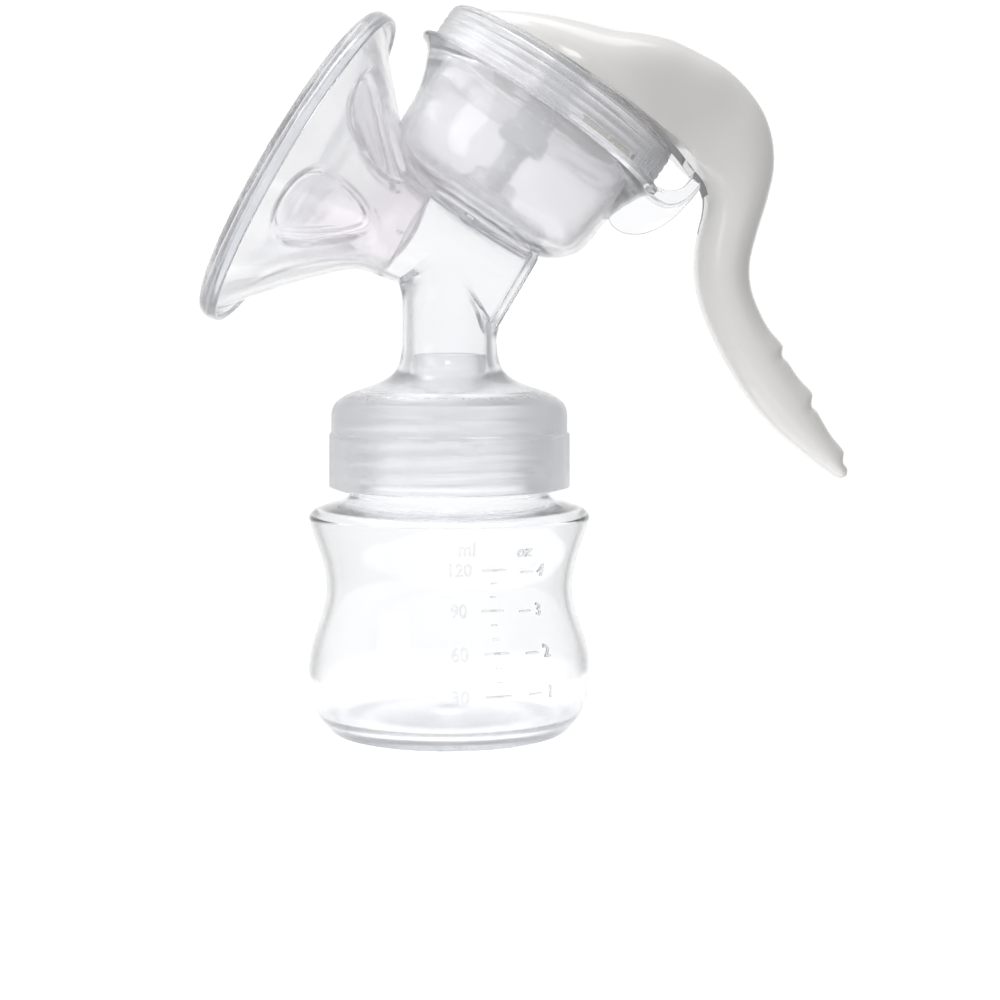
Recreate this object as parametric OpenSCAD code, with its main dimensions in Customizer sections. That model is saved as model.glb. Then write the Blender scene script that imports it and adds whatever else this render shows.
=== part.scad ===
// Manual breast pump: a screw-on bottle, a one-piece pump body with a funnel,
// a soft massage cushion, a diaphragm worked by a stem, and a squeeze handle.
// Origin: centre of the bottle's foot, on the surface it stands on.
// +X points to the squeeze handle, -X to the funnel's mouth, +Z up.
// The X-Z plane is the plane of symmetry.

/* [Bottle] */
// Radius of the bottle at its belly
belly_r = 33.3; // [32.8:0.1:34.5]
// Radius of the bottle at its waist
waist_r = 29.1; // [28.4:0.1:30]
// Outer radius of the bottle's neck
neck_finish_r = 23.4; // [22.8:0.1:24]
// Wall of the bottle
bottle_wall = 1.8; // [1.4:0.1:2.2]
// Height of the top of the bottle's neck
bottle_top = 76.6; // [76:0.1:76.7]

/* [Collar] */
// Height of the collar's lower edge
collar_z = 56.9; // [56.6:0.1:58]
// Corner radius of the ten-sided grip
grip_r = 28.9; // [28.6:0.1:29.6]
// Height of the ten-sided grip
grip_h = 13.1; // [10:0.1:16]
// Radius of the plain band above the grip
collar_r = 28.0; // [27.6:0.1:28.2]
// Inside radius of the collar
collar_bore_r = 25.7; // [25.4:0.1:26]

/* [Neck and suction tube] */
// Outer radius of the upright neck
neck_r = 11.2; // [11.1:0.1:11.8]
// Bore radius of the upright neck
neck_bore_r = 9.0; // [8.8:0.05:9.1]
// Outer radius of the slanting suction tube
tube_r = 10.9; // [10.6:0.1:11]
// Bore radius of the suction tube
tube_bore_r = 9.4; // [9.2:0.05:9.5]
// Height at which the tube's axis crosses the bottle's axis
tube_z = 111.9; // [111.5:0.1:112.3]
// Angle between the tube's axis and the upright
tube_tilt = 59.2; // [58.5:0.1:60]

/* [Suction chamber] */
// Distance of the chamber's rim centre in front of the bottle's axis
cup_x = 21.6; // [21.4:0.1:22]
// Height of the chamber's rim centre
cup_z = 145.6; // [145.4:0.1:146]
// Tilt of the chamber's axis from the upright
cup_tilt = 34.4; // [34:0.1:35]
// Radius of the chamber's flared lip
lip_r = 33.7; // [33.2:0.1:34]

/* [Handle] */
// Distance of the pivot from the chamber's axis
pivot_u = 37.7; // [37.4:0.1:38]
// Height of the pivot above the chamber's lip, along its axis
pivot_w = 12.95; // [12.8:0.05:13.1]
// Radius of the pivot bar
pivot_r = 2.0; // [1.8:0.05:2.1]
// Wall of the handle's cap
handle_wall = 2.6; // [2.2:0.1:3]

/* [Hidden] */
$fn = 96;
eps = 0.01;

// ---------- helpers ----------
// point on a Catmull-Rom curve through p1 and p2
function cr(a, b, c, d, t) =
    0.5*(2*b + (c - a)*t + (2*a - 5*b + 4*c - d)*t*t + (3*b - a - 3*c + d)*t*t*t);
// smooth polyline through the points p, n steps a span
function smooth(p, n = 3) =
    concat([for (i = [0:len(p) - 2]) for (k = [0:n - 1])
        cr(p[max(i - 1, 0)], p[i], p[i + 1], p[min(i + 2, len(p) - 1)], k/n)], [p[len(p) - 1]]);
// polyline p moved by d to its left
function unit(v) = v/norm(v);
function side(p, i) = let (t = unit(p[min(i + 1, len(p) - 1)] - p[max(i - 1, 0)])) [-t[1], t[0]];
function offs(p, d) = [for (i = [0:len(p) - 1]) p[i] + d*side(p, i)];
function rev(p) = [for (i = [len(p) - 1:-1:0]) p[i]];

module cup_frame() { translate([cup_x, 0, cup_z]) rotate([0, cup_tilt, 0]) children(); }
module tube_frame() { translate([0, 0, tube_z]) rotate([0, -tube_tilt, 0]) children(); }
// plate lying in the X-Z plane of the current frame, centred on y = 0
module plate(pts, th) { translate([0, th/2, 0]) rotate([90, 0, 0]) linear_extrude(height = th) polygon(pts); }
module ybar(x, z, r, len) { translate([x, len/2, z]) rotate([90, 0, 0]) cylinder(r = r, h = len); }

// ---------- profiles, [radius, height] ----------
bottle_side = smooth([
    [28.7, 1.0], [31.4, 4.4], [32.8, 8.2], [belly_r, 12.6], [33.1, 16.4], [32.1, 21.5], [29.9, 28.2],
    [waist_r, 33.6], [29.9, 39.4], [32.1, 46.2], [33.1, 49.6]], 2);
bottle_in = rev(offs(bottle_side, bottle_wall));

// funnel's outside, in the tube's frame, from the tube to the lip
funnel_side = smooth([
    [12.5, 6], [12.6, 12], [13.6, 17], [16.5, 21], [24, 28.5], [27.9, 31.9], [33, 36.4], [39.6, 41.3]], 2);

// chamber's outside below the lip, in the chamber's frame
cup_side = smooth([
    [lip_r, -0.5], [31.2, -1.8], [29.3, -5.2], [28.2, -7.8], [27.4, -10.8], [26.9, -14.5], [26.7, -17.8],
    [26.2, -20.9], [24.9, -23.2], [23.0, -25.4], [20.6, -26.9], [18.7, -28.1], [15, -29.1], [9, -29.5]], 2);
cup_in = [
    [27.2, 6.8], [27.2, -2], [26.6, -6], [25.8, -10.5], [25.2, -14.5], [25.0, -17.8], [24.5, -20.5],
    [23.2, -22.6], [21.6, -24.3], [19.4, -25.6], [16.5, -26.7], [13, -27.3]];
membrane_out = smooth([
    [26.9, 6.9], [26.9, -2], [26.3, -6], [25.5, -10.5], [24.9, -14.5], [24.7, -17.6], [24.1, -20.0],
    [22.8, -22.0], [21.0, -23.7], [18.8, -24.9], [16, -25.8], [12.5, -26.3]], 2);
membrane_t = 1.3;

// ---------- bottle ----------
module bottle() {
    color([0.93, 0.95, 0.97, 0.45])
    rotate_extrude() polygon(concat(
        [[0, 2.4], [14, 2.2], [21, 1.4], [24.2, 0], [27.2, 0]],
        bottle_side,
        [[32.9, 50.9], [32.1, 51.7], [28.7, 53.2], [24.6, 54.7], [neck_finish_r, 55.6],
         [neck_finish_r, bottle_top], [neck_finish_r - bottle_wall, bottle_top],
         [neck_finish_r - bottle_wall, 54.6], [24.6, 52.6], [28.6, 51.0]],
        [for (p = bottle_in) if (p[1] > 4.6) p],
        [[27.4, 3.4], [22, 3.3], [13, 4.0], [0, 4.4]]));
}

// ---------- valve in the foot of the neck ----------
valve_top = 88.3;
module bill(r, w, t, z0, z1) {
    hull() {
        translate([0, 0, z0]) cylinder(r = r, h = 1, $fn = 32);
        translate([-t/2, -w/2, z1]) cube([t, w, 1]);
    }
}
module duckbill_valve() {
    color([0.92, 0.92, 0.93, 0.8])
    difference() {
        union() {
            translate([0, 0, 80]) cylinder(r = neck_bore_r - 0.3, h = valve_top - 80);
            translate([0, 0, 78.2]) cylinder(r = neck_bore_r + 1.4, h = 2);
            bill(8.4, 14, 2.4, 77.4, 63);
        }
        translate([0, 0, 79]) cylinder(r = neck_bore_r - 1.9, h = valve_top);
        bill(7.1, 11.6, 0.5, 78.1, 62);
    }
}

// ---------- pump body ----------
module threaded_collar() {
    color([0.86, 0.87, 0.89, 0.75])
    difference() {
        union() {
            translate([0, 0, collar_z]) cylinder(r = grip_r, h = grip_h, $fn = 10);
            rotate_extrude() polygon([[0, collar_z], [27.2, collar_z], [27.2, 60], [collar_r, 60],
                [collar_r, 74.4], [27.6, 76.2], [26.6, 77.8], [24.6, 79.3], [20.5, 80.9], [16.2, 82.5],
                [13.2, 84.3], [11.8, 85.6], [neck_r, 87], [0, 87]]);
        }
        translate([0, 0, collar_z - 1]) cylinder(r = collar_bore_r, h = 76.8 - collar_z + 1);
        rotate_extrude() polygon([[0, 76], [20.4, 76], [20.4, 78.4], [17.6, 79.9], [13.6, 81.4],
            [10.6, 83.2], [neck_bore_r, 84.6], [neck_bore_r, 88], [0, 88]]);
    }
}

module body_neck() {
    color([0.92, 0.93, 0.95, 0.6])
    difference() {
        translate([0, 0, 87]) cylinder(r = neck_r, h = 34);
        translate([0, 0, 86]) cylinder(r = neck_bore_r, h = 40);
        tube_frame() translate([0, 0, -40]) cylinder(r = tube_r, h = 80);
        tube_frame() translate([0, -20, -40]) cube([40, 40, 80]);
    }
}

module cup_solid(grow = 0) {
    rotate_extrude() polygon(concat([[0, 1], [lip_r + grow, 1]],
        [for (p = offs(cup_side, -grow)) p], [[0, -29.6 - grow]]));
}

module suction_tube() {
    color([0.92, 0.93, 0.95, 0.6])
    difference() {
        tube_frame() translate([0, 0, -18.5]) cylinder(r = tube_r, h = 24.5);
        tube_frame() translate([0, 0, -16.6]) cylinder(r = tube_bore_r, h = 40);
        translate([0, 0, 80]) cylinder(r = neck_bore_r, h = tube_z - 80);
        cup_frame() cup_solid();
    }
}

module funnel_shell() {
    color([0.90, 0.91, 0.93, 0.6])
    difference() {
        tube_frame() rotate_extrude() polygon(concat(
            [[tube_bore_r, 6]], funnel_side,
            rev([for (p = offs(funnel_side, 1.6)) if (p[1] > 8) p]), [[tube_bore_r + 1.4, 8], [tube_bore_r, 7.4]]));
        cup_frame() cup_solid();
    }
}

module chamber_cup() {
    color([0.90, 0.91, 0.93, 0.6])
    cup_frame() difference() {
        rotate_extrude() polygon(concat(
            [[29.0, 6.8], [29.0, 0.6], [lip_r, 0.6]], cup_side,
            [[0, -29.6], [0, -27.5]], rev(cup_in)));
        // suction port into the tube
        translate([0, 0, -34]) cylinder(r = 2.2, h = 10);
    }
}

module pivot_bracket() {
    color([0.92, 0.93, 0.95, 0.6])
    cup_frame() difference() {
        union() {
            plate([[31.5, -1.4], [36.4, -1.0], [39.2, 1.6], [40.3, 4.6], [40.4, 9.0], [39.6, 12], [36.2, 12],
                   [37.9, 8.6], [37.8, 5.0], [36.6, 3.0], [34.8, 1.7], [31.5, 0.6]], 12);
            ybar(pivot_u, pivot_w, 4.2, 12);
            plate([[26.0, -11.0], [29.5, -12.4], [32.4, -12.0], [35.2, -10.3], [37.1, -8.4], [38.7, -5.8],
                   [40.0, -2.3], [40.8, 2.4], [41.3, 6.3], [39.5, 8], [38.4, 4.4], [34, 0], [30, 0], [26, -6]], 2);
        }
        cup_solid();
        translate([0, 0, -35]) cylinder(r = 33.2, h = 35.6);
        ybar(pivot_u, pivot_w, pivot_r + 0.08, 20);
    }
    // thin web under the lip, up to the chamber's wall
    color([0.92, 0.93, 0.95, 0.6])
    cup_frame() difference() {
        plate([[26.0, -11.0], [29.5, -12.4], [32.4, -12.0], [33.4, -11.3], [33.4, -0.2], [26, -0.2]], 2);
        cup_solid();
    }
}

// ---------- massage cushion, a soft liner in the funnel ----------
module massage_cushion() {
    liner = [for (p = offs(funnel_side, 1.75)) if (p[1] > 11) p];
    inner = [for (p = offs(funnel_side, 3.9)) if (p[1] > 11) p];
    color([0.93, 0.92, 0.93, 0.75])
    difference() {
        tube_frame() rotate_extrude() polygon(concat(
            [[10.75, 10.6]], liner,
            [[39.9, 41.9], [40.1, 39.6], [40.8, 39.1], [41.5, 39.8], [41.6, 42.9], [40.8, 44.1], [39.2, 44.5]],
            rev(inner), [[8.6, 10.6]]));
        cup_frame() cup_solid(0.15);
    }
}

// ---------- diaphragm, ring and stem ----------
module diaphragm() {
    inside = offs(membrane_out, -membrane_t);
    color([0.90, 0.90, 0.92, 0.7])
    cup_frame() rotate_extrude() polygon(concat(
        [[26.9 - membrane_t, 8.5], [29.0, 8.5], [29.0, 6.95]], membrane_out,
        [[0, -26.5], [0, -24.6], [4.35, -24.6], [4.35, -22.2], [2.95, -21.4], [2.95, -18.8],
         [4.6, -18.8], [5.6, -19.6], [7.6, -24.2], [9.6, -25.0]],
        rev([for (p = inside) if (p[1] > -25) p])));
}

module retaining_ring() {
    color([0.88, 0.89, 0.92, 0.6])
    cup_frame() rotate_extrude() polygon(concat(
        [[29.2, 0.8]],
        [for (i = [0:3]) for (q = [[31.2, 0.8], [31.2, 2.1], [30.6, 2.3], [30.6, 2.6]]) q + [0, 1.95*i]],
        [[31.2, 8.7], [30.8, 9.5], [29.6, 10.2], [27.5, 10.5], [25.6, 10.5], [25.6, 8.7], [29.2, 8.7]]));
}

module stem() {
    color([0.82, 0.83, 0.85])
    cup_frame() rotate_extrude() polygon([[0, -24.4], [4.2, -24.4], [4.2, -22.4], [2.75, -21.6],
        [2.75, -9.5], [0, -9.5]]);
}

module stem_yoke() {
    color([0.80, 0.81, 0.83])
    cup_frame() union() {
        difference() {
            translate([-6, -5, -9.5]) cube([12, 10, 13.5]);
            translate([-7, -6, -2.5]) rotate([0, 0, 0]) cube([2.4, 12, 8]);
            translate([4.6, -6, -2.5]) cube([2.4, 12, 8]);
        }
        for (s = [-1, 1]) translate([-4, s > 0 ? 2.5 : -5, 4 - eps]) cube([8, 2.5, 11.5]);
        ybar(0, pivot_w, 1.9, 10);
    }
}

// ---------- squeeze handle ----------
// a station: outer point, inner point (x, z each), half width, roundness of the underside (0 flat, 1 round)
function st(u, o, b, k) = let (a = cup_tilt)
    [o[0], o[1], cup_x + u*cos(a) + 10.9*sin(a), cup_z - u*sin(a) + 10.9*cos(a), b, k];
stations = [
    st(-24.9, [7.2, 169.2], 6, 0), st(-21.5, [11, 169.3], 14.5, 0), st(-16, [18, 168.9], 20.5, 0),
    st(-10, [25, 168.0], 24, 0), st(-3.5, [32, 166.5], 26, 0), st(4, [39, 164.9], 27, 0),
    st(11.5, [46, 164.2], 26.5, 0), st(18.5, [52.5, 162.8], 24.5, 0), st(25, [59, 159.9], 21.5, 0),
    st(31, [65.3, 156.4], 18.5, 0),
    [70.5, 151.6, 57.2, 132.0, 16.3, 0.1], [74.4, 146.0, 59.4, 129.0, 15.2, 0.3], [76.5, 139.5, 60.3, 125.8, 14.4, 0.6],
    [76.8, 132.5, 60.1, 122.1, 13.8, 0.85], [75.2, 125.0, 59.1, 117.9, 13.3, 1], [72.9, 117.5, 58.3, 113.0, 12.9, 1],
    [71.2, 110.5, 58.2, 107.5, 12.6, 1], [71.4, 104.5, 59.2, 101.5, 12.3, 1], [73.4, 98.9, 61.2, 95.7, 12.1, 1],
    [76.3, 93.4, 64.0, 89.6, 11.9, 1], [79.4, 88.2, 67.6, 83.2, 11.7, 1], [82.9, 82.6, 71.8, 76.9, 11.4, 1],
    [86.0, 77.0, 76.6, 71.4, 11, 1], [89.2, 71.4, 81.6, 67.0, 10.4, 1], [92.0, 66.2, 86.3, 63.2, 9.5, 1],
    [93.7, 62.0, 90.4, 60.7, 7.5, 1], [93.9, 59.8, 92.4, 59.5, 4, 1]];
// half widths of the hollow under the cap, from the third station on
hollow_b = [16.5, 20.5, 23, 24.2, 23.8, 21.6, 18, 13, 8.6, 7.4, 7.4, 7.4, 7.4, 7.4];
function hollow_st(i) = let (s = stations[i + 2], d = unit([s[0] - s[2], s[1] - s[3]]))
    [s[0] - handle_wall*d[0], s[1] - handle_wall*d[1], s[2] - 4*d[0], s[3] - 4*d[1], hollow_b[i], 0];

function sgn_pow(v, e) = sign(v)*pow(abs(v), e);
function ring_pt(s, t) = let (c = cos(t), q = sin(t), f = max(s[5], 0.03) - 1,
        v = q >= 0 ? f + (1 - f)*pow(q, 0.9) : f - (1 + f)*pow(-q, 0.9))
    [(s[0] + s[2])/2 + v*(s[0] - s[2])/2, s[4]*sgn_pow(c, 0.85), (s[1] + s[3])/2 + v*(s[1] - s[3])/2];
module loft(list, m) {
    n = len(list);
    polyhedron(
        points = concat(
            [for (s = list) for (j = [0:m - 1]) ring_pt(s, 360*j/m)],
            [for (s = [list[0], list[n - 1]]) [(s[0] + s[2])/2, 0, (s[1] + s[3])/2]]),
        faces = concat(
            [for (j = [0:m - 1]) [n*m, j, (j + 1)%m]],
            [for (i = [0:n - 2]) for (j = [0:m - 1]) [i*m + j, (i + 1)*m + j, (i + 1)*m + (j + 1)%m]],
            [for (i = [0:n - 2]) for (j = [0:m - 1]) [i*m + j, (i + 1)*m + (j + 1)%m, i*m + (j + 1)%m]],
            [for (j = [0:m - 1]) [n*m + 1, (n - 1)*m + (j + 1)%m, (n - 1)*m + j]]),
        convexity = 6);
}

module handle() {
    color([0.96, 0.95, 0.94])
    difference() {
        union() {
            difference() {
                loft(stations, 16);
                loft([for (i = [0:len(hollow_b) - 1]) hollow_st(i)], 12);
            }
            // rib that lifts the stem
            cup_frame() plate([[-9, 8], [5.5, 8], [5.5, 25.2], [-9, 19.6]], 3);
        }
        // slot for the yoke's cross bar
        cup_frame() union() {
            ybar(-4.6, pivot_w, 2.5, 8);
            ybar(1.4, pivot_w, 2.5, 8);
            translate([-4.6, -4, pivot_w - 2.5]) cube([6, 8, 5]);
        }
        cup_frame() ybar(pivot_u, pivot_w, pivot_r + 0.02, 24.2);
    }
}

module pivot_bar() {
    color([0.94, 0.93, 0.92])
    cup_frame() ybar(pivot_u, pivot_w, pivot_r, 24);
}

bottle();
duckbill_valve();
threaded_collar();
body_neck();
suction_tube();
funnel_shell();
chamber_cup();
pivot_bracket();
massage_cushion();
diaphragm();
retaining_ring();
stem();
stem_yoke();
handle();
pivot_bar();
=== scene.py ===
# Manual breast pump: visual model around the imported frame. All lengths below are in millimetres
# until a mesh is made, which is in metres.
import math

import bpy
import numpy as np
from mathutils import Matrix, Vector


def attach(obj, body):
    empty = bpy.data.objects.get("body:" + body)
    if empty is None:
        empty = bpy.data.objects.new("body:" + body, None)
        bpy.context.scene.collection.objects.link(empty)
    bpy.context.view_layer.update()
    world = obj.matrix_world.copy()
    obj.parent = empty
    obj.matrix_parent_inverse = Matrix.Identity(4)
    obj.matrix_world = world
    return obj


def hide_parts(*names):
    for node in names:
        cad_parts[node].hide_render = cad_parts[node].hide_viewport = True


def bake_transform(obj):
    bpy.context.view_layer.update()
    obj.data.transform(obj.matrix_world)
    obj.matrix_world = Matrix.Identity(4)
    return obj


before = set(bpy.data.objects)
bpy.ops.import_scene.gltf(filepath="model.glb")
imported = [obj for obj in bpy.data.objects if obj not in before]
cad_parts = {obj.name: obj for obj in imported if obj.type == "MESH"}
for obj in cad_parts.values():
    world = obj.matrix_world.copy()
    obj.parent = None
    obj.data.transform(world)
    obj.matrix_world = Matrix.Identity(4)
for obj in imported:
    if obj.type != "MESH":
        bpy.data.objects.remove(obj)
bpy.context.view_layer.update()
MM = 0.001

# ------------------------------------------------------------------ frames
CUP_X, CUP_Z, CUP_TILT = 21.6, 145.6, math.radians(34.4)
TUBE_Z, TUBE_TILT = 111.9, math.radians(59.2)
CUP = Matrix.Translation((CUP_X, 0, CUP_Z)) @ Matrix.Rotation(CUP_TILT, 4, "Y")
TUBE = Matrix.Translation((0, 0, TUBE_Z)) @ Matrix.Rotation(-TUBE_TILT, 4, "Y")
ROW = Matrix.Identity(4)


# ------------------------------------------------------------------ helpers
def smooth(points, n=6):
    """Catmull-Rom curve through the points, n steps a span."""
    p = np.array(points, float)
    out = []
    for i in range(len(p) - 1):
        a, b, c, d = p[max(i - 1, 0)], p[i], p[i + 1], p[min(i + 2, len(p) - 1)]
        for k in range(n):
            t = k / n
            out.append(0.5 * (2 * b + (c - a) * t + (2 * a - 5 * b + 4 * c - d) * t * t + (3 * b - a - 3 * c + d) * t ** 3))
    out.append(p[-1])
    return np.array(out)


def normals(p):
    p = np.array(p, float)
    t = np.empty_like(p)
    t[1:-1] = p[2:] - p[:-2]
    t[0], t[-1] = p[1] - p[0], p[-1] - p[-2]
    t /= np.linalg.norm(t, axis=1)[:, None]
    return np.stack([-t[:, 1], t[:, 0]], 1)


def offset(p, d):
    return np.array(p, float) + d * normals(p)


def arc(cx, cy, r, a0, a1, n=6):
    return [(cx + r * math.cos(math.radians(a0 + (a1 - a0) * k / n)), cy + r * math.sin(math.radians(a0 + (a1 - a0) * k / n)))
            for k in range(n + 1)]


def sstep(a, b, x):
    t = np.clip((x - a) / (b - a), 0, 1)
    return t * t * (3 - 2 * t)


def volume(v, f):
    total = 0.0
    for face in f:
        a = v[face[0]]
        for i in range(1, len(face) - 1):
            total += np.dot(a, np.cross(v[face[i]], v[face[i + 1]]))
    return total / 6


def mesh_object(name, verts, faces, matrix=ROW, sharp=32, check=True):
    v = np.array(verts, float)
    if check and volume(v, faces) < 0:
        faces = [tuple(reversed(f)) for f in faces]
    m = np.array(matrix)
    v = v @ m[:3, :3].T + m[:3, 3]
    me = bpy.data.meshes.new(name)
    me.from_pydata([tuple(q) for q in v * MM], [], faces)
    me.validate()
    ob = bpy.data.objects.new(name, me)
    bpy.context.scene.collection.objects.link(ob)
    finish_shading(ob, sharp)
    return ob


def finish_shading(ob, sharp=32):
    ob.data.shade_smooth()
    if sharp is not None:
        ob.data.set_sharp_from_angle(angle=math.radians(sharp))
    ob.data.update()


def revolve(name, prof, n=144, matrix=ROW, warp=None, sharp=32):
    """A closed solid from the closed outline prof, [radius, height], turned about Z.
    warp(theta, r, z, i) may move each ring's points and returns their radii and heights."""
    th = np.arange(n) * 2 * math.pi / n
    verts, rings = [], []
    for i, (r, z) in enumerate(prof):
        if r < 1e-6:
            rings.append([len(verts)])
            verts.append((0, 0, z))
            continue
        rr, zz = np.full(n, float(r)), np.full(n, float(z))
        if warp is not None:
            rr, zz = warp(th, rr, zz, i)
        rings.append(list(range(len(verts), len(verts) + n)))
        verts += list(zip(rr * np.cos(th), rr * np.sin(th), zz))
    faces = []
    m = len(prof)
    for i in range(m):
        a, b = rings[i], rings[(i + 1) % m]
        if len(a) == 1 and len(b) == 1:
            continue
        for j in range(n):
            k = (j + 1) % n
            if len(a) == 1:
                faces.append((a[0], b[j], b[k]))
            elif len(b) == 1:
                faces.append((a[j], b[0], a[k]))
            else:
                faces.append((a[j], b[j], b[k], a[k]))
    return mesh_object(name, verts, faces, matrix, sharp)


def prism(name, outline, y0, y1, matrix=ROW, bevel=0.0, sharp=32):
    """A plate: the outline in X-Z, from y0 to y1."""
    n = len(outline)
    verts = [(x, y0, z) for x, z in outline] + [(x, y1, z) for x, z in outline]
    faces = [tuple(range(n)), tuple(range(2 * n - 1, n - 1, -1))]
    faces += [(i, (i + 1) % n, n + (i + 1) % n, n + i) for i in range(n)]
    # the caps run opposite ways to the sides here
    faces = [faces[0][::-1], faces[1][::-1]] + faces[2:]
    ob = mesh_object(name, verts, faces, matrix, sharp)
    if bevel:
        mod = ob.modifiers.new("bevel", "BEVEL")
        mod.width, mod.segments, mod.limit_method, mod.angle_limit = bevel * MM, 3, "ANGLE", math.radians(35)
        apply_modifiers(ob)
        finish_shading(ob, sharp)
    return ob


def apply_modifiers(ob):
    dg = bpy.context.evaluated_depsgraph_get()
    me = bpy.data.meshes.new_from_object(ob.evaluated_get(dg), preserve_all_data_layers=True, depsgraph=dg)
    ob.modifiers.clear()
    old = ob.data
    ob.data = me
    bpy.data.meshes.remove(old)


def boolean(ob, other, operation, keep=False):
    mod = ob.modifiers.new("b", "BOOLEAN")
    mod.operation, mod.solver, mod.object = operation, "MANIFOLD", other
    apply_modifiers(ob)
    if not keep:
        drop(other)
    return ob


def drop(ob):
    me = ob.data
    bpy.data.objects.remove(ob)
    bpy.data.meshes.remove(me)


def cylinder(name, r, z0, z1, n=72, matrix=ROW):
    return revolve(name, [(0, z0), (r, z0), (r, z1), (0, z1)], n, matrix)


def ybar(name, x, z, r, length, matrix=ROW, n=48, chamfer=0.0):
    c = chamfer
    m = matrix @ Matrix.Translation((x, 0, z)) @ Matrix.Rotation(math.pi / 2, 4, "X")
    h = length / 2
    return revolve(name, [(0, -h), (r - c, -h), (r, -h + c), (r, h - c), (r - c, h), (0, h)] if c else
                   [(0, -h), (r, -h), (r, h), (0, h)], n, m)


# ------------------------------------------------------------------ materials
def tree(name):
    mat = bpy.data.materials.new(name)
    mat.use_nodes = True
    nt = mat.node_tree
    nt.nodes.clear()
    out = nt.nodes.new("ShaderNodeOutputMaterial")
    bsdf = nt.nodes.new("ShaderNodeBsdfPrincipled")
    return mat, nt, out, bsdf


def noise(nt, scale, detail=3.0, rough=0.5, stretch=None):
    co = nt.nodes.new("ShaderNodeTexCoord")
    src = co.outputs["Object"]
    if stretch:
        mp = nt.nodes.new("ShaderNodeMapping")
        mp.inputs["Scale"].default_value = stretch
        nt.links.new(src, mp.inputs["Vector"])
        src = mp.outputs["Vector"]
    n = nt.nodes.new("ShaderNodeTexNoise")
    n.inputs["Scale"].default_value = scale
    n.inputs["Detail"].default_value = detail
    n.inputs["Roughness"].default_value = rough
    nt.links.new(src, n.inputs["Vector"])
    return n.outputs["Fac"]


def ranged(nt, fac, lo, hi, f0=0.3, f1=0.7):
    m = nt.nodes.new("ShaderNodeMapRange")
    m.inputs["From Min"].default_value, m.inputs["From Max"].default_value = f0, f1
    m.inputs["To Min"].default_value, m.inputs["To Max"].default_value = lo, hi
    nt.links.new(fac, m.inputs["Value"])
    return m.outputs["Result"]


def two_tone(nt, fac, a, b, p0=0.35, p1=0.65):
    r = nt.nodes.new("ShaderNodeValToRGB")
    r.color_ramp.elements[0].position, r.color_ramp.elements[1].position = p0, p1
    r.color_ramp.elements[0].color = (*a, 1)
    r.color_ramp.elements[1].color = (*b, 1)
    nt.links.new(fac, r.inputs["Fac"])
    return r.outputs["Color"]


def bump(nt, bsdf, heights, strength, distance):
    """heights: list of (output, weight)."""
    total = None
    for h, w in heights:
        m = nt.nodes.new("ShaderNodeMath")
        m.operation = "MULTIPLY"
        m.inputs[1].default_value = w
        nt.links.new(h, m.inputs[0])
        if total is None:
            total = m.outputs[0]
        else:
            a = nt.nodes.new("ShaderNodeMath")
            a.operation = "ADD"
            nt.links.new(total, a.inputs[0])
            nt.links.new(m.outputs[0], a.inputs[1])
            total = a.outputs[0]
    b = nt.nodes.new("ShaderNodeBump")
    b.inputs["Strength"].default_value = strength
    b.inputs["Distance"].default_value = distance
    nt.links.new(total, b.inputs["Height"])
    nt.links.new(b.outputs["Normal"], bsdf.inputs["Normal"])


def through_lamps(nt, out, bsdf, colour, volume=None):
    """Lets lamps shine through: only rays from lamps meet the Transparent shader."""
    lp = nt.nodes.new("ShaderNodeLightPath")
    tr = nt.nodes.new("ShaderNodeBsdfTransparent")
    tr.inputs["Color"].default_value = (*colour, 1)
    mx = nt.nodes.new("ShaderNodeMixShader")
    nt.links.new(lp.outputs["Is Shadow Ray"], mx.inputs[0])
    nt.links.new(bsdf.outputs[0], mx.inputs[1])
    nt.links.new(tr.outputs[0], mx.inputs[2])
    nt.links.new(mx.outputs[0], out.inputs["Surface"])
    if volume:
        va = nt.nodes.new("ShaderNodeVolumeAbsorption")
        va.inputs["Color"].default_value = (*volume[0], 1)
        va.inputs["Density"].default_value = volume[1]
        nt.links.new(va.outputs[0], out.inputs["Volume"])


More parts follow.
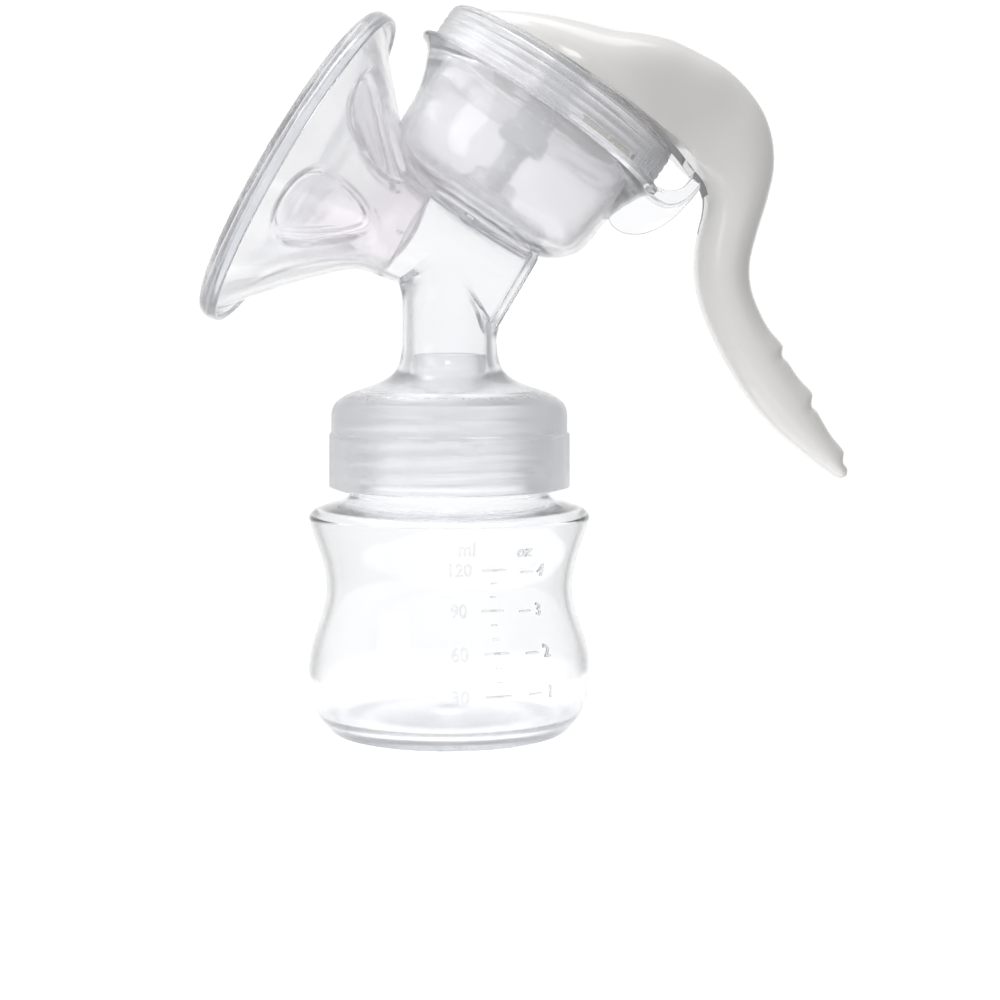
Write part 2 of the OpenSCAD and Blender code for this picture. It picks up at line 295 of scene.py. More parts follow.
def clear_plastic(name, tone_a, tone_b, rough, ior, transmission, volume, lamp, wave=0.35, coat=0.0, haze=None):
    mat, nt, out, b = tree(name)
    fine = noise(nt, 420, 4, 0.6)
    broad = noise(nt, 38, 3, 0.5, (1, 1, 0.45))
    nt.links.new(two_tone(nt, broad, tone_a, tone_b), b.inputs["Base Color"])
    gloss = ranged(nt, fine, rough * 0.75, rough * 1.35)
    if haze:
        # threads and gate area are moulded less smooth: haze is a list of (height, extra roughness)
        co = nt.nodes.new("ShaderNodeTexCoord")
        xyz = nt.nodes.new("ShaderNodeSeparateXYZ")
        nt.links.new(co.outputs["Object"], xyz.inputs[0])
        up = nt.nodes.new("ShaderNodeMapRange")
        up.inputs["From Min"].default_value, up.inputs["From Max"].default_value = 0.0, 0.1
        nt.links.new(xyz.outputs["Z"], up.inputs["Value"])
        ramp = nt.nodes.new("ShaderNodeValToRGB")
        while len(ramp.color_ramp.elements) < len(haze):
            ramp.color_ramp.elements.new(1.0)
        for e, (h, v) in zip(ramp.color_ramp.elements, haze):
            e.position = h / 100.0
            e.color = (v, v, v, 1)
        nt.links.new(up.outputs[0], ramp.inputs["Fac"])
        both = nt.nodes.new("ShaderNodeMath")
        both.operation = "ADD"
        nt.links.new(ramp.outputs["Color"], both.inputs[0])
        nt.links.new(gloss, both.inputs[1])
        gloss = both.outputs[0]
    nt.links.new(gloss, b.inputs["Roughness"])
    b.inputs["IOR"].default_value = ior
    b.inputs["Transmission Weight"].default_value = transmission
    b.inputs["Coat Weight"].default_value = coat
    b.inputs["Coat Roughness"].default_value = 0.05
    bump(nt, b, [(broad, 1.0), (fine, 0.006)], wave, 0.0005)
    through_lamps(nt, out, b, lamp, volume)
    return mat


def silicone(name, tone_a, tone_b, rough, transmission, volume, lamp, zones=None):
    mat, nt, out, b = tree(name)
    fine = noise(nt, 900, 3, 0.6)
    broad = noise(nt, 55, 4, 0.55)
    base = two_tone(nt, broad, tone_a, tone_b)
    if zones:
        # the base colour is white between the petals, partly a painted highlight there, a little tinted on the petals
        # and throat, and greyer and bluer at the rim
        at = nt.nodes.new("ShaderNodeAttribute")
        at.attribute_name = "tone"
        ramp = nt.nodes.new("ShaderNodeValToRGB")
        ramp.color_ramp.elements.new(0.5)
        for e, (pos, col) in zip(ramp.color_ramp.elements, zones):
            e.position, e.color = pos, (*col, 1)
        nt.links.new(at.outputs["Fac"], ramp.inputs["Fac"])
        mul = nt.nodes.new("ShaderNodeMix")
        mul.data_type, mul.blend_type = "RGBA", "MULTIPLY"
        mul.inputs["Factor"].default_value = 1.0
        nt.links.new(base, mul.inputs["A"])
        nt.links.new(ramp.outputs["Color"], mul.inputs["B"])
        base = mul.outputs["Result"]
    nt.links.new(base, b.inputs["Base Color"])
    nt.links.new(ranged(nt, fine, rough * 0.85, rough * 1.2), b.inputs["Roughness"])
    b.inputs["IOR"].default_value = 1.41
    b.inputs["Transmission Weight"].default_value = transmission
    b.inputs["Sheen Weight"].default_value = 0.12
    b.inputs["Sheen Roughness"].default_value = 0.45
    bump(nt, b, [(broad, 0.6), (fine, 0.06)], 0.3, 0.0004)
    through_lamps(nt, out, b, lamp, volume)
    return mat


def glossy(name, tone_a, tone_b, rough, coat=0.6):
    mat, nt, out, b = tree(name)
    fine = noise(nt, 1400, 2, 0.5)
    broad = noise(nt, 30, 4, 0.55)
    scuff = noise(nt, 160, 6, 0.7, (1, 1, 6))
    nt.links.new(two_tone(nt, broad, tone_a, tone_b), b.inputs["Base Color"])
    nt.links.new(ranged(nt, scuff, rough * 0.8, rough * 1.5, 0.35, 0.75), b.inputs["Roughness"])
    b.inputs["IOR"].default_value = 1.53
    b.inputs["Coat Weight"].default_value = coat
    b.inputs["Coat Roughness"].default_value = 0.06
    b.inputs["Subsurface Weight"].default_value = 0.08
    b.inputs["Subsurface Radius"].default_value = (1.0, 0.9, 0.8)
    b.inputs["Subsurface Scale"].default_value = 0.002
    bump(nt, b, [(broad, 0.5), (fine, 0.02)], 0.18, 0.0004)
    nt.links.new(b.outputs[0], out.inputs["Surface"])
    return mat


M_BOTTLE = clear_plastic("bottle_clear", (0.975, 0.978, 0.985), (0.988, 0.99, 0.995), 0.05, 1.49, 0.985,
                         ((0.50, 0.54, 0.60), 9), (0.98, 0.982, 0.988), 0.10,
                         haze=((0.0, 0.14), (5.0, 0.12), (9.0, 0.08), (19.0, 0.06), (27.0, 0.0), (47.0, 0.0), (51.0, 0.03), (58.0, 0.06), (61.0, 0.26)))
M_MARKS = clear_plastic("bottle_scale", (0.93, 0.935, 0.945), (0.95, 0.953, 0.96), 0.15, 1.49, 0.86,
                        None, (0.93, 0.935, 0.94), 0.10)
M_BODY = clear_plastic("body_translucent", (0.965, 0.967, 0.975), (0.978, 0.98, 0.986), 0.06, 1.47, 0.94,
                       ((0.50, 0.54, 0.60), 8), (0.96, 0.963, 0.97), 0.10,
                       haze=((55.0, 0.27), (77.0, 0.27), (81.0, 0.14), (87.0, 0.0)))
M_RING = clear_plastic("ring_translucent", (0.965, 0.967, 0.975), (0.978, 0.98, 0.986), 0.12, 1.48, 0.86,
                       ((0.50, 0.54, 0.60), 8), (0.95, 0.953, 0.96), 0.10)
# cushion: white base colour between the petals is partly a painted highlight; the rim is tinted greyer and bluer
M_CUSHION = silicone("silicone_cushion", (0.965, 0.963, 0.967), (0.985, 0.983, 0.986), 0.11, 0.92,
                     ((0.62, 0.60, 0.62), 9), (0.95, 0.945, 0.948),
                     zones=((0.0, (1.0, 1.0, 1.0)), (0.5, (0.945, 0.925, 0.937)), (1.0, (0.86, 0.875, 0.895))))
M_MEMBRANE = silicone("silicone_diaphragm", (0.965, 0.956, 0.963), (0.98, 0.973, 0.979), 0.15, 0.92,
                      ((0.58, 0.58, 0.61), 12), (0.95, 0.945, 0.95))
M_TAB = silicone("silicone_tab", (0.85, 0.84, 0.80), (0.89, 0.88, 0.845), 0.25, 0.25,
                 ((0.62, 0.60, 0.58), 20), (0.80, 0.80, 0.78))
M_VALVE = silicone("silicone_valve", (0.95, 0.952, 0.96), (0.967, 0.969, 0.974), 0.22, 0.86,
                   ((0.60, 0.62, 0.66), 16), (0.93, 0.935, 0.945))
M_STEM = clear_plastic("stem_plastic", (0.83, 0.84, 0.86), (0.87, 0.88, 0.895), 0.22, 1.5, 0.45,
                       ((0.6, 0.62, 0.66), 40), (0.75, 0.76, 0.78), 0.3)
M_HANDLE = glossy("handle_white", (0.80, 0.79, 0.77), (0.825, 0.817, 0.80), 0.18, 0.5)


def dress(ob, mat):
    ob.data.materials.clear()
    ob.data.materials.append(mat)
    return ob


# ------------------------------------------------------------------ bottle
BELLY = [(28.7, 1.0), (31.4, 4.4), (32.8, 8.2), (33.3, 12.6), (33.1, 16.4), (32.1, 21.5), (29.9, 28.2),
         (29.1, 33.6), (29.9, 39.4), (32.1, 46.2), (33.1, 49.6)]
PITCH = 4.0


def ridge(u, top=0.20, base=0.46):
    """Thread form over one pitch, u in turns: 1 on the crest, 0 in the root."""
    d = np.abs(u - np.round(u))
    return np.clip((base - d) / (base - top), 0, 1)


def bottle():
    side = smooth(BELLY, 8)
    shoulder = smooth([(33.1, 49.6), (33.15, 50.5), (32.3, 51.75), (30.5, 52.7), (28.0, 53.6), (25.4, 54.4), (24.1, 55.0), (23.4, 56.2)], 4)
    neck_z = np.arange(56.6, 75.41, 0.2)
    neck = np.array([(23.4, z) for z in neck_z])
    rim = np.array([(23.4, 76.0)] + arc(22.9, 76.1, 0.5, 0, 90, 4) + arc(22.2, 76.0, 0.6, 90, 180, 4))
    inner_neck = np.array([(21.6, 74), (21.6, 68), (21.6, 62), (21.6, 57)])
    inner = offset(side, 1.8)[::-1]
    inner = inner[inner[:, 1] > 4.9]
    inner_shoulder = smooth([(21.6, 57), (22.0, 55.0), (24.2, 53.0), (28.0, 51.9), (30.6, 51.05), tuple(inner[0])], 4)[1:-1]
    floor = smooth([tuple(inner[-1]), (27.6, 3.6), (24.5, 3.0), (20.5, 3.1), (15.5, 3.9), (10.0, 4.6), (5.0, 4.95), (2.6, 5.0)], 4)[1:]
    gate = [(2.3, 4.75), (1.7, 4.6), (1.2, 4.75), (0.7, 5.1), (0, 5.2)]
    under = [(0, 2.9), (1.6, 2.9), (2.2, 2.6), (6, 2.55), (12, 2.2), (17, 1.7), (21.5, 1.1), (23.4, 0.55)] + arc(24.6, 0.6, 0.6, 180, 270, 4) \
        + [(25.8, 0.0), (26.9, 0.0)] + arc(27.0, 1.6, 1.6, -80, -30, 4)
    parts = [np.array(under), side, shoulder[1:], neck, rim, inner_neck, inner_shoulder, inner, floor, np.array(gate)]
    prof = np.concatenate(parts)
    start = len(under) + len(side) + len(shoulder) - 1
    stop = start + len(neck)

    def warp(th, r, z, i):
        if start <= i < stop:
            u = (z - 60.0) / PITCH - th / (2 * math.pi)
            r = r + 1.15 * ridge(u) * sstep(58.6, 60.2, z) * (1 - sstep(72.6, 74.4, z))
            # bead under the thread
            r = r + 1.0 * np.exp(-((z - 57.6) / 0.55) ** 2)
        return r, z

    ob = revolve("bottle_shell", prof, 168, ROW, warp, 38)
    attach(ob, "bottle")
    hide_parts("bottle")
    dress(ob, M_BOTTLE)

    # raised scale: numbers and ticks, wrapped round the wall
    zr = np.array(BELLY)
    fine = smooth(BELLY, 20)

    def radius(z):
        return np.interp(z, fine[:, 1], fine[:, 0])

    def wrap(me, x_mid, z_mid, lift):
        """x, y of the flat mesh to arc and height; its z, 0 to 1, to height over the wall."""
        co = np.array([v.co for v in me.vertices], float)
        z = z_mid + co[:, 1]
        r = radius(z)
        a = -math.pi / 2 + (x_mid + co[:, 0]) / 33.0
        rr = r - 0.25 + (co[:, 2] > 0.5) * (0.25 + lift)
        new = np.stack([rr * np.cos(a), rr * np.sin(a), z], 1) * MM
        for v, q in zip(me.vertices, new):
            v.co = q

    pieces = []

    def label(text, x, z, size, lift=0.38):
        cu = bpy.data.curves.new("t", "FONT")
        cu.body, cu.size, cu.align_x, cu.align_y = text, size, "CENTER", "CENTER"
        cu.extrude, cu.resolution_u = 0.5, 3
        cu.offset = 0.03
        ob = bpy.data.objects.new("t", cu)
        bpy.context.scene.collection.objects.link(ob)
        dg = bpy.context.evaluated_depsgraph_get()
        me = bpy.data.meshes.new_from_object(ob.evaluated_get(dg))
        bpy.data.objects.remove(ob)
        for v in me.vertices:
            v.co.z = 1.0 if v.co.z > 0 else 0.0
        wrap(me, x, z, lift)
        pieces.append(me)

    def tick(x0, x1, z, h=0.5, lift=0.3):
        n = max(4, int((x1 - x0) / 0.5))
        xs = np.linspace(x0, x1, n + 1)
        verts, faces = [], []
        for x in xs:
            e = h / 2 * (0.55 if x in (xs[0], xs[-1]) else 1.0)
            verts += [(x, -e, 0), (x, e, 0), (x, e * 0.7, 1), (x, -e * 0.7, 1)]
        for i in range(n):
            for k in range(4):
                faces.append((4 * i + k, 4 * i + (k + 1) % 4, 4 * i + 4 + (k + 1) % 4, 4 * i + 4 + k))
        faces += [(3, 2, 1, 0), (4 * n, 4 * n + 1, 4 * n + 2, 4 * n + 3)]
        me = bpy.data.meshes.new("k")
        me.from_pydata(verts, [], faces)
        wrap(me, 0, z, lift)
        pieces.append(me)

    label("ml", 4.9, 45.4, 4.4)
    for value, z in ((120, 40.6), (90, 31.4), (60, 22.2), (30, 12.9)):
        label(str(value), 3.2, z, 4.2)
        tick(9.0, 15.0, z, 0.55)
    for z in np.arange(12.9, 41.0, 9.25 / 3):
        tick(11.4, 12.9, z, 0.45)
    label("oz", 19.4, 44.6, 4.0)
    for value, z in ((4, 39.8), (3, 30.9), (2, 21.8), (1, 12.8)):
        label(str(value), 25.6, z, 4.0)
        tick(19.5, 23.0, z, 0.5)
    verts, faces = [], []
    for me in pieces:
        base = len(verts)
        verts += [tuple(v.co) for v in me.vertices]
        faces += [tuple(base + i for i in p.vertices) for p in me.polygons]
        bpy.data.meshes.remove(me)
    me = bpy.data.meshes.new("volume_scale")
    me.from_pydata(verts, [], faces)
    me.validate()
    marks = bpy.data.objects.new("volume_scale", me)
    bpy.context.scene.collection.objects.link(marks)
    import bmesh
    bm = bmesh.new()
    bm.from_mesh(me)
    bmesh.ops.remove_doubles(bm, verts=bm.verts, dist=1e-6)
    bmesh.ops.recalc_face_normals(bm, faces=bm.faces)
    bm.to_mesh(me)
    bm.free()
    finish_shading(marks, 30)
    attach(marks, "bottle")
    dress(marks, M_MARKS)


# ------------------------------------------------------------------ pump body
FUNNEL = [(12.5, 6), (12.6, 12), (13.6, 17), (16.5, 21), (24, 28.5), (27.9, 31.9), (33, 36.4), (39.6, 41.3)]
CUP_SIDE = [(33.7, -0.5), (31.4, -1.7), (29.5, -5.0), (28.3, -7.8), (27.4, -10.8), (26.9, -14.5), (26.7, -17.8),
            (26.2, -20.9), (24.9, -23.2), (23.0, -25.4), (20.8, -27.0), (18.4, -28.2), (15, -29.1), (9, -29.5)]
CUP_IN = [(27.2, 6.8), (27.2, 3), (27.2, -2), (26.6, -6), (25.8, -10.5), (25.2, -14.5), (25.0, -17.8), (24.4, -20.6),
          (23.2, -22.7), (21.5, -24.4), (19.3, -25.7), (16.4, -26.7), (13, -27.2)]


def decagon(th, r, amount):
    """Ten-sided section with soft corners; amount 0 leaves it round."""
    s = math.radians(36)
    d = np.abs((th + 1e-9) % s - s / 2)
    flat = 28.9 * math.cos(s / 2) / np.cos(d)
    soft = -np.log(np.exp(-6 * flat) + np.exp(-6 * 28.62)) / 6
    return r * (1 - amount) + soft * amount


def pump_body():
    # collar, dome and neck
    low = [(26.6, 57.1)] + arc(28.3, 57.5, 0.6, -90, 0, 4)
    grip = [(28.9, z) for z in np.linspace(58.2, 69.4, 12)] + [(28.55, 69.9), (28.0, 70.3)]
    band = [(28.0, z) for z in (71.5, 73.2)] + list(map(tuple, smooth(
        [(28.0, 74.4), (27.7, 75.9), (26.9, 77.3), (25.2, 78.7), (22.6, 79.9), (19.2, 81.0), (16.2, 82.2),
         (13.9, 83.7), (12.4, 85.6), (11.6, 88.0), (11.2, 91.0)], 4)))
    neck = [(11.2, 91.0 + 21 * k / 16) for k in range(1, 17)]
    prof = [(0, 57.1)] + low + grip + band + neck + [(0, 112)]
    g0, g1 = 1 + 1, 1 + len(low) + len(grip)
    n0 = 1 + len(low) + len(grip) + len(band)

    def warp(th, r, z, i):
        if g0 <= i < g1:
            a = 1.0 if i < g1 - 2 else (0.6 if i == g1 - 2 else 0.0)
            corner = r - 28.9
            r = decagon(th, np.full_like(r, 28.9), a) * 1.0 + (corner if i < 1 + len(low) else 0) * 1.0 if a == 1 else decagon(th, r, a)
        if n0 <= i < n0 + len(neck):
            t = (i - n0 + 1) / len(neck)
            top = TUBE_Z - 0.596 * r * np.cos(th)
            z = 91.0 + (top - 91.0) * t
            # the neck widens a little where it runs into the tube
            left = np.clip(-np.cos(th), 0, 1)
            r = r + 1.5 * left ** 1.3 * sstep(0.36, 0.66, np.full_like(r, t)) + 0.7 * sstep(0.10, 0.34, np.full_like(r, t)) * np.clip(np.cos(th), 0, 1) ** 2
        return r, z

    body = revolve("pump_body", prof, 160, ROW, warp)
    tube = revolve("tube", [(0, -18.5), (9.9, -18.5)] + arc(9.9, -17.5, 1.0, -90, 0, 5)[1:] +
                   [(10.9, z) for z in (-14, -10, -6, -2, 1)] + [(10.98, 3), (11.2, 5), (11.55, 7), (11.95, 9), (12.3, 11), (12.2, 11.6), (0, 11.6)], 160, TUBE)
    boolean(body, tube, "UNION")
    out = smooth([(12.0, 9.4), (12.4, 11.6), (12.75, 13.6)] + FUNNEL[2:], 7)
    lip = offset(out, 1.6)[-1]
    lip_arc = [tuple(out[-1] * (1 - t) + lip * t + np.array((0.45, 0.35)) * math.sin(math.pi * t)) for t in (0.25, 0.5, 0.75)]
    inner = offset(out, 1.6)[::-1]
    inner = inner[inner[:, 1] > 11.2]
    funnel = revolve("funnel", [(0, 9.4)] + list(map(tuple, out)) + lip_arc + list(map(tuple, inner)) + [(10.9, 10.8), (0, 10.8)], 160, TUBE)
    cup = revolve("cup", [(0, 6.8), (28.6, 6.8), (29.0, 6.4)] + [(29.0, 0.9), (29.3, 0.6), (33.2, 0.6)] +
                  arc(33.25, 0.05, 0.5, 80, -60, 5) + list(map(tuple, smooth(CUP_SIDE, 5)[1:])) + [(0, -29.6)], 160, CUP)
    # bracket: arm, eye and web
    arm = prism("arm", [tuple(p) for p in smooth([(31.0, -1.5), (34.6, -1.5), (37.2, -0.9), (39.3, 1.4), (40.3, 4.6), (40.5, 8.4), (40.0, 11.4)], 4)] +
                [tuple(p) for p in smooth([(37.3, 10.2), (37.9, 8.0), (37.7, 5.0), (36.6, 2.9), (34.8, 1.6), (31.0, 0.5)], 4)],
                -6, 6, CUP, 0.5)
    eye = ybar("eye", 37.7, 12.95, 4.2, 12, CUP, 48, 0.4)
    web = prism("web", [tuple(p) for p in smooth([(26.0, -9.6), (27.9, -11.7), (30.2, -12.3), (32.6, -11.9), (35.2, -10.4), (37.1, -8.4),
                                                  (38.7, -5.8), (40.0, -2.3), (40.8, 2.0), (41.2, 5.6), (40.9, 7.6)], 4)] +
                [(39.6, 7.8), (38.6, 2.0), (34, -0.6), (30, -0.4), (26, -3)], -1, 1, CUP, 0.3)
    boolean(body, funnel, "UNION")
    boolean(body, cup, "UNION")
    boolean(arm, eye, "UNION")
    boolean(arm, web, "UNION")
    boolean(body, arm, "UNION")
    # hollows
    zs = np.arange(56.0, 76.81, 0.25)
    inside = [(0, 56.0)] + [(25.7, z) for z in zs] + [(20.6, 76.8), (20.4, 77.2)] + list(map(tuple, smooth(
        [(20.4, 78.2), (19.0, 79.3), (16.2, 80.5), (13.2, 81.8), (10.9, 83.2), (9.6, 84.9), (9.0, 87.2)], 4))) + \
        [(9.0, 92), (9.0, 98), (9.0, 104), (9.0, 109), (9.0, 112), (0, 112)]
    t0, t1 = 1, 1 + len(zs)

    def thread(th, r, z, i):
        if t0 <= i < t1:
            u = (z - 60.0 - PITCH / 2) / PITCH - th / (2 * math.pi)
            r = r - 0.7 * ridge(u, 0.10, 0.36) * sstep(58.8, 60.2, z) * (1 - sstep(73.2, 74.8, z))
            r = r + 0.5 * sstep(57.6, 56.4, z)
        return r, z

    boolean(body, revolve("bore", inside, 160, ROW, thread), "DIFFERENCE")
    boolean(body, revolve("tube_bore", [(0, -16.6)] + [(8.6, -16.6)] + arc(8.6, -15.8, 0.8, -90, 0, 4)[1:] +
                          [(9.4, z) for z in (-12, -8, -4, 0)] + [(9.46, 2), (9.65, 4), (9.95, 6), (10.35, 8), (10.75, 10), (10.95, 11.5), (10.95, 12.6), (0, 12.6)], 160, TUBE), "DIFFERENCE")
    boolean(body, revolve("cup_bore", [(0, 8.5), (27.2, 8.5)] + list(map(tuple, smooth(CUP_IN, 5))) + [(0, -27.5)], 160, CUP), "DIFFERENCE")
    boolean(body, cylinder("port", 2.2, -36, -24, 40, CUP), "DIFFERENCE")
    boolean(body, ybar("pin_hole", 37.7, 12.95, 2.08, 30, CUP), "DIFFERENCE")
    finish_shading(body, 34)
    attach(body, "pump_head")
    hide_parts("threaded_collar", "body_neck", "suction_tube", "funnel_shell", "chamber_cup", "pivot_bracket")
    dress(body, M_BODY)


# ------------------------------------------------------------------ massage cushion
def cushion():
    side = smooth(FUNNEL, 14)
    nrm = normals(side)
    keep = side[:, 1] > 11.2
    outer, inner = (side + 1.85 * nrm)[keep], (side + 3.9 * nrm)[keep]
    nn = nrm[keep]
    s = side[keep][:, 1]
    rim = smooth([(38.6, 42.4), (39.6, 42.0), (40.05, 41.0), (40.1, 39.9), (40.6, 39.3), (41.2, 39.6), (41.55, 40.8), (41.6, 42.2),
                  (41.1, 43.5), (40.1, 44.2), (38.9, 44.45), (37.9, 44.2)], 4)
    mouth = [(10.15, 10.9), (9.7, 10.6), (9.2, 10.6), (8.8, 10.9)]
    prof = np.concatenate([outer, rim, inner[::-1], np.array(mouth)[::-1]])
    normal = np.concatenate([nn, np.zeros((len(rim), 2)), nn[::-1], np.zeros((4, 2))])
    share = np.concatenate([np.full(len(outer), 0.92), np.zeros(len(rim)), np.ones(len(inner)), np.zeros(4)])
    along = np.concatenate([s, np.full(len(rim), 50.0), s[::-1], np.full(4, 0.0)])
    centres = [math.radians(36 + 72 * k) for k in range(5)]

    def petal(th, a):
        """Height of the raised petals at height a along the funnel's axis."""
        h = np.zeros_like(th)
        half = math.radians(25)
        v = (a - 26.8) / 9.4
        for c in centres:
            d = (th - c + math.pi) % (2 * math.pi) - math.pi
            b = d / half
            q = np.sqrt(np.abs(b) ** 2.2 + abs(v) ** 2.6)
            h = np.maximum(h, 2.5 * sstep(1.0, 0.80, q) + 0.9 * sstep(0.78, 0.1, q))
        return h

    def warp(th, r, z, i):
        if share[i] > 0:
            h = petal(th, along[i]) * share[i]
            r = r + h * normal[i][0]
            z = z + h * normal[i][1]
        return r, z

    ob = revolve("cushion", prof, 300, TUBE, warp, 50)
    # tone: 0 valley between petals (white, partly painted highlight), 0.5 petals and throat, 1 rim (greyer and bluer)
    inv = np.array(TUBE.inverted())
    co = np.array([v.co for v in ob.data.vertices]) / MM @ inv[:3, :3].T + inv[:3, 3]
    theta, rad, ax = np.arctan2(co[:, 1], co[:, 0]), np.hypot(co[:, 0], co[:, 1]), co[:, 2]
    pet = np.array([petal(np.array([t]), a)[0] for t, a in zip(theta, ax)])
    tone = 0.5 * np.maximum(sstep(0.0, 0.6, pet), 1 - sstep(22.0, 29.0, ax))
    edge = np.maximum(sstep(38.6, 39.6, rad), sstep(42.2, 43.2, ax))
    tone = np.clip(np.maximum(tone, edge), 0, 1)
    at = ob.data.attributes.new("tone", "FLOAT", "POINT")
    at.data.foreach_set("value", tone.astype(np.float32))
    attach(ob, "pump_head")
    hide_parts("massage_cushion")
    dress(ob, M_CUSHION)


# ------------------------------------------------------------------ valve
def valve():
    prof = [(7.1, 88.3)] + arc(8.2, 87.8, 0.5, 90, 0, 4) + [(8.7, 86), (8.7, 83), (8.7, 80.4), (10.0, 80.2), (10.3, 79.9), (10.4, 79.3),
            (10.2, 78.5), (9.6, 78.2), (8.6, 78.2)]
    n = 96
    th = np.arange(n) * 2 * math.pi / n
    rings = [(np.cos(th) * r, np.sin(th) * r, np.full(n, z)) for r, z in prof]

    def section(z, half_t, half_w, power):
        c, s = np.cos(th), np.sin(th)
        return (half_t * np.sign(c) * np.abs(c) ** power, half_w * np.sign(s) * np.abs(s) ** power, np.full(n, z))

    for k in range(11):
        t = k / 10
        rings.append(section(77.6 - 13.8 * t, 8.3 * (1 - t) ** 0.95 + 1.1 * t, 8.3 * (1 - t) + 7.0 * t, 1.0 - 0.45 * t))
    rings.append(section(63.5, 0.8, 6.8, 0.5))
    for k in range(10, -1, -1):
        t = k / 10
        rings.append(section(77.9 - 13.6 * t, 7.1 * (1 - t) ** 0.95 + 0.28 * t, 7.1 * (1 - t) + 6.0 * t, 1.0 - 0.45 * t))
    rings.append((np.cos(th) * 7.1, np.sin(th) * 7.1, np.full(n, 79.5)))
    verts, faces = [], []
    for x, y, z in rings:
        verts += list(zip(x, y, z))
    m = len(rings)
    for i in range(m):
        for j in range(n):
            a, b = i * n, ((i + 1) % m) * n
            k = (j + 1) % n
            faces.append((a + j, b + j, b + k, a + k))
    ob = mesh_object("duckbill", verts, faces, ROW, 40)
    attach(ob, "valve")
    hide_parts("duckbill_valve")
    dress(ob, M_VALVE)


# ------------------------------------------------------------------ diaphragm, ring, stem
MEMBRANE = [(26.9, 6.9), (26.9, 2), (26.9, -2), (26.3, -6), (25.5, -10.5), (24.9, -14.5), (24.7, -17.6), (24.1, -20.0),
            (22.8, -22.0), (21.0, -23.7), (18.8, -24.9), (16, -25.8), (12.5, -26.3)]


def membrane():
    out = smooth(MEMBRANE, 7)
    inner = offset(out, -1.3)
    inner = inner[inner[:, 1] > -25.0][::-1]
    bead = [(25.6, 7.4), (25.7, 8.1)] + arc(26.3, 8.0, 0.6, 180, 90, 4)[1:] + arc(28.4, 7.9, 0.6, 90, 0, 4) + [(29.0, 7.2), (28.6, 6.92)]
    hub = smooth([(8.2, -25.2), (7.3, -24.3), (6.6, -22.6), (6.0, -20.8), (5.5, -19.5), (4.8, -18.9), (3.6, -18.8), (2.95, -19.1)], 3)
    prof = [tuple(p) for p in bead] + [tuple(p) for p in out] + [(6, -26.6), (0, -26.6), (0, -24.6), (4.35, -24.6), (4.35, -22.2), (2.95, -21.4)] + \
        [tuple(p) for p in hub[::-1]] + [(9.6, -25.3), (11.5, -25.15)] + [tuple(p) for p in inner]
    ob = revolve("diaphragm_bowl", prof, 144, CUP, None, 40)
    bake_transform(ob)
    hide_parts("diaphragm")
    dress(ob, M_MEMBRANE)


def ring():
    prof = [(29.2, 0.8), (29.6, 0.72), (30.8, 0.72)]
    for i in range(4):
        z = 0.9 + 1.95 * i
        prof += [(31.15, z + 0.15), (31.2, z + 0.6), (31.15, z + 1.15), (30.92, z + 1.35), (30.88, z + 1.55), (30.95, z + 1.8)]
    prof += [tuple(p) for p in smooth([(31.2, 8.7), (31.0, 9.3), (30.3, 9.95), (29.2, 10.3), (27.6, 10.48), (26.4, 10.4), (25.7, 10.0)], 4)]
    prof += [(25.6, 9.2), (25.8, 8.7), (28.9, 8.7), (29.2, 8.4), (29.2, 6), (29.2, 4), (29.2, 2)]

    def knurl(th, r, z, i):
        # fine grip ribs over the two ends of the ring
        if 1 < i < 27:
            r = r + 0.14 * np.cos(th * 130) * np.abs(np.cos(th)) ** 10
        return r, z

    ob = revolve("clamp_ring", prof, 520, CUP, knurl, 40)
    boolean(ob, prism("notch", [(9.2, 0.3), (23.4, 0.3), (23.4, 2.1), (9.2, 2.1)], -40, 40, CUP), "DIFFERENCE")
    finish_shading(ob, 40)
    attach(ob, "pump_head")
    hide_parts("retaining_ring")
    dress(ob, M_RING)
    # tabs of the diaphragm's rim, which show through the ring's two slots
    for side in (-1, 1):
        verts, faces = [], []
        steps = 18
        for k in range(steps + 1):
            a = side * math.radians(71.5 - 29.5 * k / steps)
            for r, z in ((29.3, 0.72), (30.9, 0.72), (31.12, 0.95), (31.12, 1.7), (30.9, 1.95), (29.3, 1.95)):
                verts.append((r * math.cos(a), r * math.sin(a), z))
        for k in range(steps):
            for j in range(6):
                faces.append((6 * k + j, 6 * k + (j + 1) % 6, 6 * k + 6 + (j + 1) % 6, 6 * k + 6 + j))
        faces += [(5, 4, 3, 2, 1, 0), tuple(6 * steps + j for j in range(6))]
        tab = mesh_object("rim_tab_near" if side < 0 else "rim_tab_far", verts, faces, CUP, 35)
        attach(tab, "pump_head")
        dress(tab, M_TAB)


